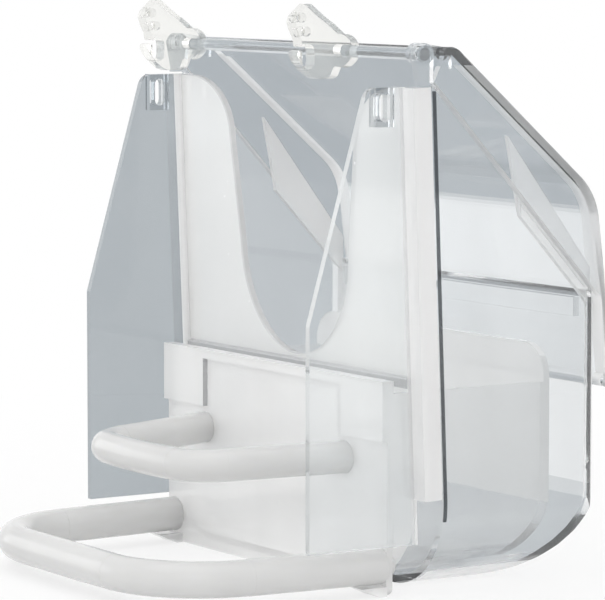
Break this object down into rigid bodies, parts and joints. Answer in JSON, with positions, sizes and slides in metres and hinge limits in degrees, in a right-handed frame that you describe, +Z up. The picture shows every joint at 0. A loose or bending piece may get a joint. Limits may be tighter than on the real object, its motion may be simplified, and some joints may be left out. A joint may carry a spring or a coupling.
{
  "type": "hooded seed feeder",
  "caption": "Clear hooded seed feeder for a cage: housing with swing-up hood, bell-shaped feeding opening, side wings, pull-out seed cup with perch loops and sliding wire hooks.",
  "frame": {"origin": "middle of the flat base that the housing stands on", "axes": "+X to the feeder's right as seen from the back, along the hanger rod; +Y from the cage side to the back; +Z up"},
  "size_m": [0.1018, 0.108, 0.1214],
  "materials": {
    "clear_body": "clear moulded plastic, glossy",
    "smoky_clear": "clear moulded plastic, reads grey-blue, glossy",
    "clear_rod": "clear rod, glossy",
    "frosted_plate": "pale translucent plastic, softly glossy",
    "clear_cup": "clear moulded plastic, glossy",
    "milky_perch": "milky translucent plastic, satin",
    "clear_hook": "clear to milky moulded plastic, glossy"
  },
  "bodies": {
    "feeder": {"housing": "clear_body", "hanger_rod": "clear_rod", "front_plate": "frosted_plate", "left_wing": "smoky_clear", "right_wing": "smoky_clear"},
    "hood": {"hood": "smoky_clear"},
    "cup": {"seed_cup": "clear_cup", "upper_perch": "milky_perch", "lower_perch": "milky_perch"},
    "left_hook": {"left_hook": "clear_hook"},
    "right_hook": {"right_hook": "clear_hook"}
  },
  "joints": [
    {"name": "hood_hinge", "type": "hinge", "parent": "feeder", "child": "hood", "pos_m": [0, -0.013, 0.1115], "axis": [1, 0, 0], "range_deg": [0, 95]},
    {"name": "cup_slide", "type": "slide", "parent": "feeder", "child": "cup", "axis": [0, -1, 0], "range_m": [0, 0.03]},
    {"name": "left_hook_slide", "type": "slide", "parent": "feeder", "child": "left_hook", "axis": [1, 0, 0], "range_m": [-0.0019, 0.04]},
    {"name": "right_hook_slide", "type": "slide", "parent": "feeder", "child": "right_hook", "axis": [1, 0, 0], "range_m": [-0.01, 0.025]}
  ]
}
